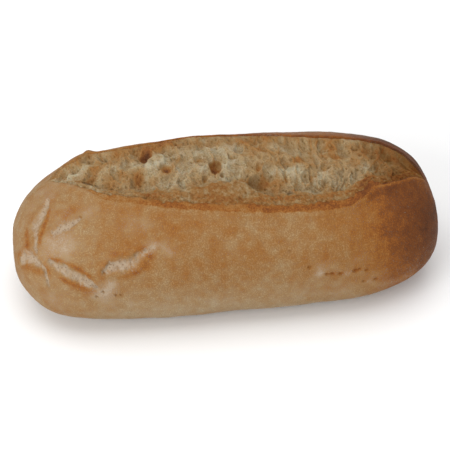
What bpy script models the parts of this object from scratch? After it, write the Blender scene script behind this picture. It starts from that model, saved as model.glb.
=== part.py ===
"""Bolillo roll: a small wheat roll with one long slash that has opened in the oven.

One piece of bread, so one solid. +X runs along the roll, +Y to its rear and +Z up, in metres.
The crust is a closed superellipse form, and the slash is worked into its top: two lips with an
upturned ear, and torn crumb between them with its trough, its mounds and its larger gas holes.
"""

import bpy
import numpy as np

MM = 0.001

# Driving sizes of the baked roll
LENGTH = 150 * MM
WIDTH = 67 * MM
HEIGHT = 51 * MM
BASE_CUT = 1.2 * MM            # what the oven tray flattens off the round underside
WIDEST_AT = 0.42               # height of the widest line, as a share of HEIGHT
BEND = -2.1 * MM               # how far both ends swing to the front
TAPER = -0.005                 # the right half is this share slimmer at its end

# How full the form is: 2 is an ellipse, and more is squarer
LEFT_BLUNT, RIGHT_BLUNT = 3.25, 3.4
TOP_FULL, BOTTOM_FULL = 2.2, 2.85

# How fast the height falls towards each end, against the width
LEFT_TOP_FALL, RIGHT_TOP_FALL = 1.72, 1.07
LEFT_BASE_FALL, RIGHT_BASE_FALL = 1.07, 1.43

# The net that is wrapped round the roll, and what is left of it in the solid
STATIONS = 300
CRUST_COLUMNS = 200
CRUMB_COLUMNS = 84
SOLID_TRIANGLES = 9800

# Lips of the slash: how far along the roll, and how far across it, in mm
LEFT_TIP, RIGHT_TIP = (-61.0, 9.3), (70.0, -3.9)
FRONT_LIP = (
    LEFT_TIP, (-57.5, 4.6), (-52.5, -0.2), (-47.0, -6.3), (-39.0, -12.8), (-29.0, -16.7), (-15.5, -19.6),
    (6.0, -21.7), (25.0, -22.4), (37.0, -21.8), (47.5, -18.9), (58.0, -14.0), (64.5, -9.2), RIGHT_TIP,
)
REAR_LIP = (
    LEFT_TIP, (-56.5, 11.0), (-52.5, 13.6), (-45.5, 16.4), (-28.0, 17.0), (-6.0, 19.4), (8.0, 17.4),
    (22.0, 13.8), (39.0, 11.2), (53.0, 7.8), (60.0, 4.4), (66.0, 0.2), RIGHT_TIP,
)

# The ear: the crust swells and turns up where the slash cut it, and its cut edge lies open
FRONT_EAR, REAR_EAR = 1.0 * MM, 0.3 * MM
EAR_REACH = 2.4 * MM
EDGE_WIDE = 1.7 * MM           # the cut edge of the front ear, from the lip to the crumb behind it

# Where this roll is fuller or flatter than the plain form: a place on it and how far the change
# reaches and stands out, in mm
BULGES = (
    (-48.5, 23.0, 37.0, 6.0, 1.3), (-66.0, 19.0, 29.0, 9.0, -0.6), (-73.0, 12.0, 23.0, 7.0, -0.3),
    (57.0, 24.0, 34.0, 9.0, 0.6), (72.0, -10.0, 34.0, 8.0, 0.4), (75.0, -12.0, 21.0, 8.0, 0.3),
    (31.0, 22.0, 42.0, 12.0, -0.5), (-8.5, 19.0, 46.0, 6.0, 0.5), (-21.0, 20.0, 45.0, 7.0, -0.4),
    (-71.0, -20.0, 15.0, 8.0, -0.7), (-60.0, -24.0, 7.0, 9.0, 0.6), (47.0, -27.0, 7.0, 12.0, 0.5),
)

# Torn crumb, along the roll in mm: where its trough lies behind the front lip, and its depths in mm
TROUGH_BEHIND_LIP = ((-60, 1), (-50, 4), (-43, 6), (-27, 10), (-9, 14.5), (0, 16.5), (8, 15), (12, 11),
                     (20, 10), (35, 10), (43, 9), (52, 4.5), (60, 3), (70, 1))
TROUGH_DEPTH = ((-60, 1), (-50, 3.2), (-43, 4.2), (-20, 4.6), (-4, 5.2), (10, 5.6), (30, 4.6), (43, 4.0),
                (52, 3.0), (60, 1.8), (70, 0.8))
STRIP_DEPTH = ((-60, 0.5), (-50, 1.0), (-30, 2.0), (-12, 1.8), (0, 1.4), (12, 2.4), (30, 2.1), (45, 1.2),
               (55, 1.4), (70, 0.5))
WALL_DEPTH = 1.9
REAR_RISE = 7.0                # over which the crumb climbs its last part to the rear lip
REAR_DEPTH = 0.6

# Gas holes and hollows: along, across, half-length, half-width, depth in mm, turned in degrees
HOLES = (
    (-27.4, 8.0, 1.7, 1.6, 2.8, 0),
    (-20.2, 1.2, 1.7, 1.6, 2.4, 0),
    (-4.6, -0.2, 2.0, 1.7, 4.2, 20),
    (-1.6, -3.2, 1.0, 0.8, 1.3, 0),
    (-8.4, -4.2, 1.1, 2.2, 2.2, -25),
    (11.0, -3.4, 1.1, 1.1, 1.8, 0),
    (12.6, -8.4, 4.6, 3.4, 2.6, 15),
    (33.9, -3.0, 1.8, 1.7, 2.4, 0),
    (30.4, -5.0, 1.6, 4.2, 1.5, 5),
    (35.6, -8.4, 2.0, 3.0, 1.3, 0),
    (-39.2, -3.8, 0.9, 0.8, 1.4, 0),
    (2.7, 3.8, 1.7, 0.7, 1.4, -15),
    (-14.6, 14.6, 1.2, 1.0, 1.2, 0),
    (-47.0, 3.6, 3.6, 1.9, 1.2, 40),
    (-41.2, 0.2, 3.6, 4.0, 0.9, 0),
    (-30.0, -2.4, 1.8, 4.2, 1.3, -10),
    (-14.0, -2.6, 3.6, 3.2, 0.9, 0),
)

# Lumps of dough that stand proud: along, across, half-length, half-width, height in mm, turned in degrees
LUMPS = (
    (-1.0, -9.8, 8.6, 5.4, 1.6, 0),
    (47.0, -13.4, 4.4, 2.2, 1.6, -12),
    (-31.0, -10.6, 4.5, 2.0, 0.8, -10),
    (17.5, -2.0, 2.6, 5.0, 0.8, 0),
    (-58.6, 9.6, 2.6, 1.8, 0.9, 30),
    (-45.5, 16.4, 1.6, 1.4, 0.7, 0),
)

# Tears in the crust of the left end, where the dough was tucked in. Each is a line of
# along the roll in mm, degrees round it from the rear, and half-width in mm.
TEARS = (
    ((-61.4, 91, 0.5), (-64.4, 97, 0.8), (-66.0, 104, 0.9), (-67.1, 119, 0.7), (-66.8, 134, 0.6)),
    ((-72.0, 137, 0.9), (-69.8, 137, 1.1), (-67.5, 144, 0.9), (-65.0, 155, 0.7), (-63.1, 169, 0.4)),
    ((-61.9, 147, 0.7), (-58.4, 153, 1.2), (-55.3, 157, 1.3), (-51.4, 162, 1.2), (-47.6, 166, 0.7)),
    ((-44.5, 158, 0.7), (-41.0, 156, 1.4), (-37.0, 154.5, 1.4), (-33.5, 152, 1.2), (-29.1, 147, 0.7)),
    ((-59.3, 120, 0.8), (-57.2, 118, 0.9), (-55.2, 116.4, 0.8), (-51.0, 114.6, 0.4)),
)
TEAR_DEPTH = 0.9 * MM
TEAR_SWELL = 0.35 * MM         # the crust that a tear has pushed up on both sides

# Pits in the crust of the right half: along in mm, degrees round, radius in mm
PITS = (
    (18.7, 155.6, 0.6), (25.8, 157.4, 0.6), (31.2, 173.4, 0.9), (33.9, 174.0, 1.0), (37.8, 173.4, 1.0),
    (40.6, 174.2, 0.8), (42.3, 179.6, 0.9),
)
PIT_DEPTH = 0.6 * MM


def smooth(low, high, value):
    """0 below low, 1 above high, and an S-curve between."""
    t = np.clip((value - low) / np.maximum(high - low, 1e-9), 0, 1)
    return t * t * (3 - 2 * t)


def signed_power(value, power):
    return np.sign(value) * np.abs(value) ** power


def along(knots, x_mm):
    """A soft curve through (place along the roll, value) pairs: the straight runs, averaged over 4 mm."""
    places, values = np.array(knots, float).T
    return np.mean([np.interp(x_mm + shift, places, values) for shift in np.linspace(-2, 2, 9)], axis=0)


def end_share(x):
    """The share of the full width that is left at x."""
    blunt = np.where(x < 0, LEFT_BLUNT, RIGHT_BLUNT)
    return np.clip(1 - np.abs(x / (LENGTH / 2)) ** blunt, 0, 1) ** (1 / blunt)


def bend_at(x):
    return BEND * (x / (LENGTH / 2)) ** 2


def half_width(x):
    return WIDTH / 2 * end_share(x) * (1 + TAPER * x / (LENGTH / 2))


def loaf(x, turn):
    """The plain form: a point for each place along the roll and angle round it, from +Y over the top."""
    share, left = end_share(x), x < 0
    top = share ** np.where(left, LEFT_TOP_FALL, RIGHT_TOP_FALL) * HEIGHT * (1 - WIDEST_AT)
    base = share ** np.where(left, LEFT_BASE_FALL, RIGHT_BASE_FALL) * HEIGHT * WIDEST_AT
    up = np.sin(turn) >= 0
    full = 2 / np.where(up, TOP_FULL, BOTTOM_FULL)
    y = bend_at(x) + half_width(x) * signed_power(np.cos(turn), full)
    z = HEIGHT * WIDEST_AT + np.where(up, top, base) * signed_power(np.sin(turn), full) - BASE_CUT
    return np.stack(np.broadcast_arrays(x, y, z), axis=-1)


def facing_out(x, turn):
    """Unit normals of the plain form, from a short step along it and a short step round it."""
    inner = np.clip(x, -LENGTH / 2 + 0.05 * MM, LENGTH / 2 - 0.05 * MM)
    step_x, step_turn = 0.04 * MM, 0.002
    along_it = loaf(inner + step_x, turn) - loaf(inner - step_x, turn)
    round_it = loaf(inner, turn + step_turn) - loaf(inner, turn - step_turn)
    normal = np.cross(round_it, along_it)
    return normal / np.linalg.norm(normal, axis=-1, keepdims=True)


def turn_of(x, across):
    """The angle on the upper half at which the form is this far across the roll."""
    share = np.clip((across - bend_at(x)) / np.maximum(half_width(x), 1e-6), -1, 1)
    return np.arccos(signed_power(share, TOP_FULL / 2))


def even_stations(count):
    """Places along the roll, as far apart on the surface at the ends as in the middle."""
    theta = np.linspace(-np.pi / 2, np.pi / 2, 4001)
    blunt = np.where(theta < 0, LEFT_BLUNT, RIGHT_BLUNT)
    x = LENGTH / 2 * signed_power(np.sin(theta), 2 / blunt)
    side = WIDTH / 2 * np.abs(np.cos(theta)) ** (2 / blunt)
    run = np.concatenate([[0], np.cumsum(np.hypot(np.diff(x), np.diff(side)))])
    return np.interp(np.linspace(0, run[-1], count), run, x)


def lip_curve(knots, x_mm):
    places, across = np.array(knots, float).T
    return np.interp(x_mm, places, across)


def cell_hollows(u, v, size, seed):
    """Round hollows of a torn foam, 0 on the walls to 1 at the centres: one bubble in each square cell,
    moved and sized by a seeded draw, and at each place the deepest of the nearest nine."""
    draw = np.random.default_rng(seed).random((64, 64, 3))
    u, v = u / size, v / size
    column, row = np.floor(u).astype(int), np.floor(v).astype(int)
    deepest = np.zeros(np.broadcast(u, v).shape)
    for right in (-1, 0, 1):
        for upward in (-1, 0, 1):
            shift_u, shift_v, grow = np.moveaxis(draw[(column + right) % 64, (row + upward) % 64], -1, 0)
            apart = (u - column - right - shift_u) ** 2 + (v - row - upward - shift_v) ** 2
            radius = 0.4 + 0.45 * grow
            deepest = np.maximum(deepest, 1 - apart / radius**2)
    return deepest


def swells(points, size, seed):
    """Soft lumps of about this size, from -1 to 1: random values on a cubic lattice, eased between."""
    draw = np.random.default_rng(seed).uniform(-1, 1, (32, 32, 32))
    place = points / size + 16
    low = np.floor(place).astype(int)
    ease = smooth(0, 1, place - low)
    total = 0
    for corner in np.ndindex(2, 2, 2):
        weight = np.prod(np.where(corner, ease, 1 - ease), axis=-1)
        i, j, k = np.moveaxis((low + corner) % 32, -1, 0)
        total = total + weight * draw[i, j, k]
    return total


def spots(x_mm, y_mm, table):
    """Sum of domes of the table's half-sizes and heights, in mm, as seen from above the roll."""
    total = np.zeros(np.broadcast(x_mm, y_mm).shape)
    for middle_x, middle_y, half_x, half_y, height, turned in table:
        c, s = np.cos(np.radians(turned)), np.sin(np.radians(turned))
        a, b = x_mm - middle_x, y_mm - middle_y
        apart = ((a * c + b * s) / half_x) ** 2 + ((b * c - a * s) / half_y) ** 2
        total = total + height * np.sqrt(np.clip(1 - apart, 0, 1))
    return total


def line_distance(points, line):
    """Distance of each point from a line of (point, half-width), and the line's half-width there."""
    nearest = np.full(points.shape[:-1], np.inf)
    width = np.zeros(points.shape[:-1])
    for (start, wide_start), (end, wide_end) in zip(line[:-1], line[1:]):
        span = end - start
        share = np.clip((points - start) @ span / (span @ span), 0, 1)
        apart = np.linalg.norm(points - start - share[..., None] * span, axis=-1)
        closer = apart < nearest
        nearest = np.where(closer, apart, nearest)
        width = np.where(closer, wide_start + (wide_end - wide_start) * share, width)
    return nearest, width


def on_loaf(x_mm, degrees):
    return loaf(np.float64(x_mm * MM), np.radians(degrees))


def form_relief(points):
    """How far the whole roll stands out from the plain form: its bulges and the slow swells of its dough."""
    relief = 0.3 * MM * swells(points, 17 * MM, 11) + 0.12 * MM * swells(points, 6 * MM, 12)
    for x, y, z, reach, height in BULGES:
        apart = np.linalg.norm(points / MM - (x, y, z), axis=-1) / reach
        relief += height * MM * np.exp(-(apart**2))
    return relief


def crust_relief(points, from_front, from_rear, gape):
    """How far the crust stands out from the plain form: the roll's own shape, the ear, tears and pits."""
    relief = form_relief(points)
    ear = FRONT_EAR * np.exp(-((from_front / EAR_REACH) ** 2))
    ear += REAR_EAR * np.exp(-((from_rear / EAR_REACH) ** 2))
    relief += ear * smooth(0, 8 * MM, gape)
    for tear in TEARS:
        line = [(on_loaf(x, degrees), half * MM) for x, degrees, half in tear]
        apart, wide = line_distance(points, line)
        relief -= TEAR_DEPTH * (1 - smooth(0, 1.6 * wide, apart))
        relief += TEAR_SWELL * np.exp(-(((apart - 2.1 * wide) / (1.1 * MM)) ** 2))
    for x, degrees, radius in PITS:
        apart = np.linalg.norm(points - on_loaf(x, degrees), axis=-1) / (radius * MM)
        relief -= PIT_DEPTH * np.clip(1 - apart**2, 0, 1)
    return relief * smooth(0.2 * MM, 5 * MM, points[..., 2])


def crumb_relief(points, from_front, from_rear):
    """How far the torn crumb stands out from the plain form, which is nearly all below it:
    from the front lip, the cut edge, a strip, the trough, a wall climbing to the rear lip."""
    x_mm, y_mm = points[..., 0] / MM, points[..., 1] / MM
    front, rear = from_front / MM, from_rear / MM
    gape = front + rear
    trough_at = np.minimum(along(TROUGH_BEHIND_LIP, x_mm), 0.45 * gape)
    trough, strip = along(TROUGH_DEPTH, x_mm), along(STRIP_DEPTH, x_mm)
    edge = np.minimum(EDGE_WIDE / MM, 0.16 * gape)
    open_share = smooth(0, 10, gape)
    depth = strip * smooth(0.6 * edge, 1.5 * edge, front)
    depth += (trough - strip) * smooth(np.maximum(0.62 * trough_at, 1.5 * edge), trough_at, front)
    depth -= (trough - WALL_DEPTH) * smooth(trough_at, trough_at + np.minimum(9, 0.4 * gape), front)
    depth -= (WALL_DEPTH - REAR_DEPTH) * smooth(-np.minimum(REAR_RISE, 0.3 * gape), 0, -rear)
    depth += spots(x_mm, y_mm, HOLES) - spots(x_mm, y_mm, LUMPS)
    pores = 0.6 * cell_hollows(x_mm, y_mm, 5.2, 21) + 0.3 * cell_hollows(x_mm, y_mm, 2.6, 22) - 0.3
    depth += pores * smooth(edge, 2 * edge, front) * smooth(0, 0.8, rear)
    ear = FRONT_EAR / MM * (1 - smooth(0.7 * edge, 1.4 * edge, front)) + REAR_EAR / MM * (1 - smooth(0, 0.7, rear))
    return form_relief(points) + (ear - depth * smooth(0, 0.8, rear)) * MM * open_share


def roll_net():
    """Points of the roll, station by station: the crust from the front lip under the roll to the
    rear lip, then the crumb back to the front lip. It also returns which stations the slash opens."""
    x = even_stations(STATIONS)[:, None]
    x_mm = x / MM
    opened = ((x_mm > LEFT_TIP[0]) & (x_mm < RIGHT_TIP[0]))[:, 0]
    front_turn = turn_of(x, lip_curve(FRONT_LIP, x_mm) * MM)
    rear_turn = np.where(opened[:, None], turn_of(x, lip_curve(REAR_LIP, x_mm) * MM), front_turn)

    under = front_turn + np.linspace(0, 1, CRUST_COLUMNS) * (rear_turn + 2 * np.pi - front_turn)
    over = rear_turn + np.linspace(0, 1, CRUMB_COLUMNS + 2) * (front_turn - rear_turn)
    crust, crumb = loaf(x, under), loaf(x, over)
    run = [np.cumsum(np.linalg.norm(np.diff(part, axis=1), axis=-1), axis=1) for part in (crust, crumb)]
    crust_run, crumb_run = [np.concatenate([0 * x, part], axis=1) for part in run]
    gape = crumb_run[:, -1:]

    crust += facing_out(x, under) * crust_relief(crust, crust_run, crust_run[:, -1:] - crust_run, gape)[..., None]
    crumb += facing_out(x, over) * crumb_relief(crumb, gape - crumb_run, crumb_run)[..., None]
    return np.concatenate([crust, crumb[:, 1:-1]], axis=1), opened


def roll_triangles(opened):
    """The net's points by number: one at each pole, and one seam point where the slash is shut."""
    columns = CRUST_COLUMNS + CRUMB_COLUMNS
    number = np.arange(STATIONS * columns).reshape(STATIONS, columns)
    number[~opened, CRUST_COLUMNS - 1:] = number[~opened, :1]
    number[0], number[-1] = number[0, 0], number[-1, 0]
    here, there = number, np.roll(number, -1, axis=1)
    corners = [here[:-1], there[:-1], there[1:], here[1:]]
    a, b, c, d = [part.ravel() for part in corners]
    triangles = np.concatenate([np.stack([a, b, c], 1), np.stack([a, c, d], 1)])
    whole = (triangles[:, 0] != triangles[:, 1]) & (triangles[:, 1] != triangles[:, 2])
    whole &= triangles[:, 2] != triangles[:, 0]
    return triangles[whole]


def mesh_of(name, points, triangles):
    """A mesh of these triangles, without the points that none of them uses."""
    used, renumbered = np.unique(triangles, return_inverse=True)
    mesh = bpy.data.meshes.new(name)
    mesh.from_pydata(points[used].tolist(), [], renumbered.reshape(-1, 3).tolist())
    mesh.update()
    return mesh


def build():
    for old in list(bpy.data.objects):
        bpy.data.objects.remove(old)

    net, opened = roll_net()
    fine = bpy.data.objects.new("fine_roll", mesh_of("fine_roll", net.reshape(-1, 3), roll_triangles(opened)))
    bpy.context.scene.collection.objects.link(fine)
    fewer = fine.modifiers.new("fewer_triangles", "DECIMATE")
    fewer.ratio = SOLID_TRIANGLES / len(fine.data.polygons)
    fewer.use_collapse_triangulate = True
    bpy.context.view_layer.update()
    solid = bpy.data.meshes.new_from_object(fine.evaluated_get(bpy.context.evaluated_depsgraph_get()))
    bpy.data.objects.remove(fine)

    points = np.empty(len(solid.vertices) * 3)
    solid.vertices.foreach_get("co", points)
    points[2::3] = np.where(points[2::3] < 0.12 * MM, 0, points[2::3])
    solid.vertices.foreach_set("co", points)
    solid.name = "roll"
    for face in solid.polygons:
        face.use_smooth = True

    crust = bpy.data.materials.new("crust")
    crust.use_nodes = True
    shader = crust.node_tree.nodes["Principled BSDF"]
    shader.inputs["Base Color"].default_value = (0.36, 0.19, 0.075, 1)
    shader.inputs["Roughness"].default_value = 0.6
    solid.materials.clear()
    solid.materials.append(crust)
    bpy.context.scene.collection.objects.link(bpy.data.objects.new("roll", solid))
    solid.update()
    print("roll:", len(solid.polygons), "triangles")


build()
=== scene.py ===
# %% [markdown]
# # A bolillo roll, slashed and baked
# A bolillo is a small wheat roll. The baker shapes it by rolling and tucking a ball of dough, cuts it
# once along the top, and bakes it on a tray. In the oven the cut springs open: the skin on both sides
# dries and browns, and the soft inside tears and toasts where it is pulled apart.
# This lesson makes that roll as two pieces that meet in the cut, the crust and the crumb, each one a
# surface of two parameters worked out with numpy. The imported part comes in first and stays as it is.

import bpy
import numpy as np
from mathutils import Matrix, Vector


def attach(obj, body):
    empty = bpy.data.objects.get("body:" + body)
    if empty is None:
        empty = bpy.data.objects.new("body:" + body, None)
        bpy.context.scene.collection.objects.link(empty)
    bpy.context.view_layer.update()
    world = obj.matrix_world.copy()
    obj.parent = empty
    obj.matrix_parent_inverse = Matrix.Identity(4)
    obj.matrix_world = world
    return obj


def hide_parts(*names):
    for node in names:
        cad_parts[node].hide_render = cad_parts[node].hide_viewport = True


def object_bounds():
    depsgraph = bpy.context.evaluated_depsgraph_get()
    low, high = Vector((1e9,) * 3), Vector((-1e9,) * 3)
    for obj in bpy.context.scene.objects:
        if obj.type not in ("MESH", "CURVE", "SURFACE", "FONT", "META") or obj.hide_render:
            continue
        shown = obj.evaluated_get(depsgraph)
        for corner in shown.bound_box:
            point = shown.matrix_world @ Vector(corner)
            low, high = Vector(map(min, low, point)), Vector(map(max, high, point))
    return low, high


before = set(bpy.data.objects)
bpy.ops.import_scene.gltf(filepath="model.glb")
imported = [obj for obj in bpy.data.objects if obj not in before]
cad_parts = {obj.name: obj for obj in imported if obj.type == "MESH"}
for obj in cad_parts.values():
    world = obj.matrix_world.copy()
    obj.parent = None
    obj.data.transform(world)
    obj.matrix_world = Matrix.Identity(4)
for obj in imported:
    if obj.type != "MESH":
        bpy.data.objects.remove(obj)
packed_box = [list(corner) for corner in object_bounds()]
MM = 0.001
print("packed part, mm:", [round((high - low) / MM, 1) for low, high in zip(*packed_box)])

# %% [markdown]
# ## Camera
# The photograph looks down on the roll at 42 degrees, a little from its left end. The roll is small
# and was shot from arm's length, so a long lens at 0.6 m gives the same slight narrowing to the rear.
# The camera is placed by two angles and a distance, and then slid a few millimetres in its own plane
# to put the roll where the frame has it, which needs no lens shift.

# %% Camera at the photograph's angle
TURN_LEFT, LOOK_DOWN, DISTANCE = np.radians(-7.3), np.radians(42), 0.600
AIM = np.array([0, 0, 24]) * MM
SLIDE_RIGHT, SLIDE_DOWN = 0.46 * MM, 2.74 * MM
FOCAL_LENGTH, SENSOR_WIDTH = 134.9, 36
back = np.array([np.sin(TURN_LEFT) * np.cos(LOOK_DOWN), -np.cos(TURN_LEFT) * np.cos(LOOK_DOWN),
                 np.sin(LOOK_DOWN)])
right = np.array([np.cos(TURN_LEFT), np.sin(TURN_LEFT), 0])
above = np.cross(back, right)

lens = bpy.data.cameras.new("camera")
lens.lens, lens.sensor_width = FOCAL_LENGTH, SENSOR_WIDTH
lens.clip_start, lens.clip_end = 0.05, 20
camera = bpy.data.objects.new("camera", lens)
middle = AIM + SLIDE_RIGHT * right - SLIDE_DOWN * above
camera.matrix_world = Matrix(np.vstack([np.column_stack([right, above, back, middle + DISTANCE * back]),
                                        [0, 0, 0, 1]]).tolist())
bpy.context.scene.collection.objects.link(camera)
bpy.context.scene.camera = camera
print("camera at, mm:", [round(value / MM) for value in camera.location])

# %% [markdown]
# ## Floor and studio light
# The roll stands on a plain pale floor. One large soft lamp from the front left gives the crust its
# gentle fall from the bright left end to the brown right end, a pale surround fills the rest, and a
# weak wide lamp above keeps the torn inside open. The plain view transform keeps whites white.

# %% Floor
scene = bpy.context.scene
scene.view_settings.view_transform = "Standard"

FLOOR_REACH = 1.6              # half the floor's side, in metres
corners = [(x * FLOOR_REACH, y * FLOOR_REACH, 0) for x, y in ((-1, -1), (1, -1), (1, 1), (-1, 1))]
floor_mesh = bpy.data.meshes.new("floor")
floor_mesh.from_pydata(corners, [], [(0, 1, 2, 3)])
floor = bpy.data.objects.new("floor", floor_mesh)
scene.collection.objects.link(floor)
paper = bpy.data.materials.new("pale_floor")
paper.use_nodes = True
paper_shader = paper.node_tree.nodes["Principled BSDF"]
paper_shader.inputs["Base Color"].default_value = (0.92, 0.92, 0.92, 1)
paper_shader.inputs["Roughness"].default_value = 0.9
floor_mesh.materials.append(paper)


# %% Lamps
def soft_lamp(name, place, aim, width, watts):
    """A square area lamp of this width at a place, turned to shine at a point."""
    lamp = bpy.data.lights.new(name, "AREA")
    lamp.shape, lamp.size, lamp.energy = "SQUARE", width, watts
    holder = bpy.data.objects.new(name, lamp)
    holder.location = place
    holder.rotation_euler = (Vector(aim) - Vector(place)).to_track_quat("-Z", "Y").to_euler()
    scene.collection.objects.link(holder)
    return holder


soft_lamp("key_lamp", place=(-0.72, -0.70, 0.56), aim=(0, 0, 0.02), width=0.6, watts=6.6)
soft_lamp("top_lamp", place=(-0.1, 0.0, 1.1), aim=(0, 0, 0), width=1.0, watts=7.0)
surround = bpy.data.worlds.new("surround")
surround.use_nodes = True
surround.node_tree.nodes["Background"].inputs["Color"].default_value = (1.0, 1.0, 1.0, 1)
surround.node_tree.nodes["Background"].inputs["Strength"].default_value = 0.6
scene.world = surround

# %% [markdown]
# ## The plain form
# Dough that is rolled and tucked comes out as a blunt cylinder with round ends. A superellipse says
# that in few numbers: a power of 2 is an ellipse, and higher powers are fuller. The roll is one in
# plan and one across, each half with its own fullness, because the underside has spread on the tray
# and the left end is lower than the right. The parameters are the place along the roll and the angle
# round it, counted from the rear over the top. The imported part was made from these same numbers.

# %% Sizes of the form
LENGTH, WIDTH, HEIGHT = 150 * MM, 67 * MM, 51 * MM
BASE_CUT = 1.2 * MM            # what the tray flattens off the underside
WIDEST_AT = 0.42               # height of the widest line, as a share of HEIGHT
BEND = -2.1 * MM               # how far both ends swing to the front
TAPER = -0.005                 # the right half is this share slimmer at its end
LEFT_BLUNT, RIGHT_BLUNT = 3.25, 3.4
TOP_FULL, BOTTOM_FULL = 2.2, 2.85
LEFT_TOP_FALL, RIGHT_TOP_FALL = 1.72, 1.07
LEFT_BASE_FALL, RIGHT_BASE_FALL = 1.07, 1.43


def smooth(low, high, value):
    """0 at low, 1 at high, an S-curve between and flat outside; low may be the larger of the two."""
    span = np.where(np.abs(high - low) < 1e-9, 1e-9, high - low)
    t = np.clip((value - low) / span, 0, 1)
    return t * t * (3 - 2 * t)


def signed_power(value, power):
    """The value's size to a power, with its sign kept."""
    return np.sign(value) * np.abs(value) ** power


# %% Points and normals of the form
def end_share(x):
    """The share of the full width left at x: (1 - |x / half length| ** blunt) ** (1 / blunt)."""
    blunt = np.where(x < 0, LEFT_BLUNT, RIGHT_BLUNT)
    return np.clip(1 - np.abs(x / (LENGTH / 2)) ** blunt, 0, 1) ** (1 / blunt)


def bend_at(x):
    """How far the roll's middle line has swung to the front: BEND times (x / half length) squared."""
    return BEND * (x / (LENGTH / 2)) ** 2


def half_width(x):
    """Half the width at x: the end share of WIDTH / 2, with the taper from left to right."""
    return WIDTH / 2 * end_share(x) * (1 + TAPER * x / (LENGTH / 2))


def loaf(x, turn):
    """A point of the form. Across: half width times cos to the power 2 / full. Up: half height times
    sin to the same power, where the half height falls to the ends as a power of the end share."""
    share, left = end_share(x), x < 0
    top = share ** np.where(left, LEFT_TOP_FALL, RIGHT_TOP_FALL) * HEIGHT * (1 - WIDEST_AT)
    base = share ** np.where(left, LEFT_BASE_FALL, RIGHT_BASE_FALL) * HEIGHT * WIDEST_AT
    up = np.sin(turn) >= 0
    full = 2 / np.where(up, TOP_FULL, BOTTOM_FULL)
    y = bend_at(x) + half_width(x) * signed_power(np.cos(turn), full)
    z = HEIGHT * WIDEST_AT + np.where(up, top, base) * signed_power(np.sin(turn), full) - BASE_CUT
    return np.stack(np.broadcast_arrays(x, y, z), axis=-1)


def facing_out(x, turn):
    """Unit normals: the cross product of a short step round the form and a short step along it."""
    inner = np.clip(x, -LENGTH / 2 + 0.05 * MM, LENGTH / 2 - 0.05 * MM)
    step_x, step_turn = 0.04 * MM, 0.002
    along_it = loaf(inner + step_x, turn) - loaf(inner - step_x, turn)
    round_it = loaf(inner, turn + step_turn) - loaf(inner, turn - step_turn)
    normal = np.cross(round_it, along_it)
    return normal / np.linalg.norm(normal, axis=-1, keepdims=True)


def turn_of(x, across):
    """The angle on the upper half at which the form is this far across the roll."""
    share = np.clip((across - bend_at(x)) / np.maximum(half_width(x), 1e-6), -1, 1)
    return np.arccos(signed_power(share, TOP_FULL / 2))


def even_stations(low, high, count):
    """Places along the roll between two x, evenly spaced on the surface, ends included."""
    theta = np.linspace(-np.pi / 2, np.pi / 2, 6001)
    x = LENGTH / 2 * signed_power(np.sin(theta), 2 / np.where(theta < 0, LEFT_BLUNT, RIGHT_BLUNT))
    run = np.concatenate([[0], np.cumsum(np.hypot(np.diff(x), np.diff(half_width(x))))])
    return np.interp(np.linspace(*np.interp([low, high], x, run), count), run, x)


print("height at the middle, mm:", round(float(loaf(0.0, np.pi / 2)[2]) / MM, 1))

# %% [markdown]
# ## The cut
# The cut opens in a long leaf shape. Its two lips are lines on the form, read along the roll in
# millimetres. Between them runs the gape, and a place in it is given by its distance from each lip.

# %% Lips of the cut
LEFT_TIP, RIGHT_TIP = (-61.0, 9.3), (71.5, -4.2)
FRONT_LIP = (
    LEFT_TIP, (-57.5, 4.6), (-52.5, -0.2), (-46.5, -6.8), (-44, -9.9), (-40.5, -12.2), (-33.8, -14.3),
    (-22.8, -17.6), (-14.6, -19), (-4, -20.4), (6, -21.5), (16, -22.2), (29, -22.6),
    (37, -22), (42, -20.8), (46.5, -18), (49, -15.4), (51.5, -14.3), (54.5, -13.6),
    (58.7, -12), (61.2, -10.4), (66, -7.6), (69.5, -5.8), RIGHT_TIP,
)
REAR_LIP = (
    LEFT_TIP, (-59, 12.8), (-56.3, 15.8), (-50.9, 18.2), (-46.8, 20.6), (-43, 20.2), (-40, 19),
    (-31, 18.8), (-24, 20.4), (-17, 22.3), (-12.7, 23), (-2, 22.8), (5, 21.3), (8.4, 20.2),
    (18.9, 17.4), (29, 14.2), (36, 12.6), (46.6, 11.9), (53, 11.2), (57.7, 10.4), (62, 8.4),
    (66, 5.6), (69.5, 1.2), RIGHT_TIP,
)


def lip_turns(x):
    """The angles of the front and the rear lip at each x. Past the tips both are the same seam."""
    x_mm = x / MM
    front, rear = (np.interp(x_mm, *np.array(lip).T) for lip in (FRONT_LIP, REAR_LIP))
    wave = 0.25 * np.sin(x_mm * 0.9) + 0.2 * np.sin(x_mm * 2.3 + 1)
    ragged = wave * smooth(0, 6, rear - front)
    front_turn = turn_of(x, (front + 0.4 * ragged) * MM)
    rear_turn = turn_of(x, (rear + ragged) * MM)
    return front_turn, np.where(opened(x), rear_turn, front_turn)


def opened(x):
    """Whether the cut is open at x."""
    return (x > LEFT_TIP[0] * MM) & (x < RIGHT_TIP[0] * MM)


# %% [markdown]
# ## Randomness with a seed
# Bread is full of irregular detail at many sizes. Two helpers give it, the same at every run.
# Swells are random heights on a lattice, eased in between, which is the slow waviness of dough.
# Hollows are round bubbles, one in each square cell, which is what a torn foam looks like.

# %% Swells and hollows
def swells(points, size, seed):
    """Soft lumps of about this size, from -1 to 1: random values on a cubic lattice, eased between."""
    draw = np.random.default_rng(seed).uniform(-1, 1, (32, 32, 32))
    place = points / size + 16
    low = np.floor(place).astype(int)
    ease = smooth(0, 1, place - low)
    total = 0
    for corner in np.ndindex(2, 2, 2):
        weight = np.prod(np.where(corner, ease, 1 - ease), axis=-1)
        i, j, k = np.moveaxis((low + corner) % 32, -1, 0)
        total = total + weight * draw[i, j, k]
    return total


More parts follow.
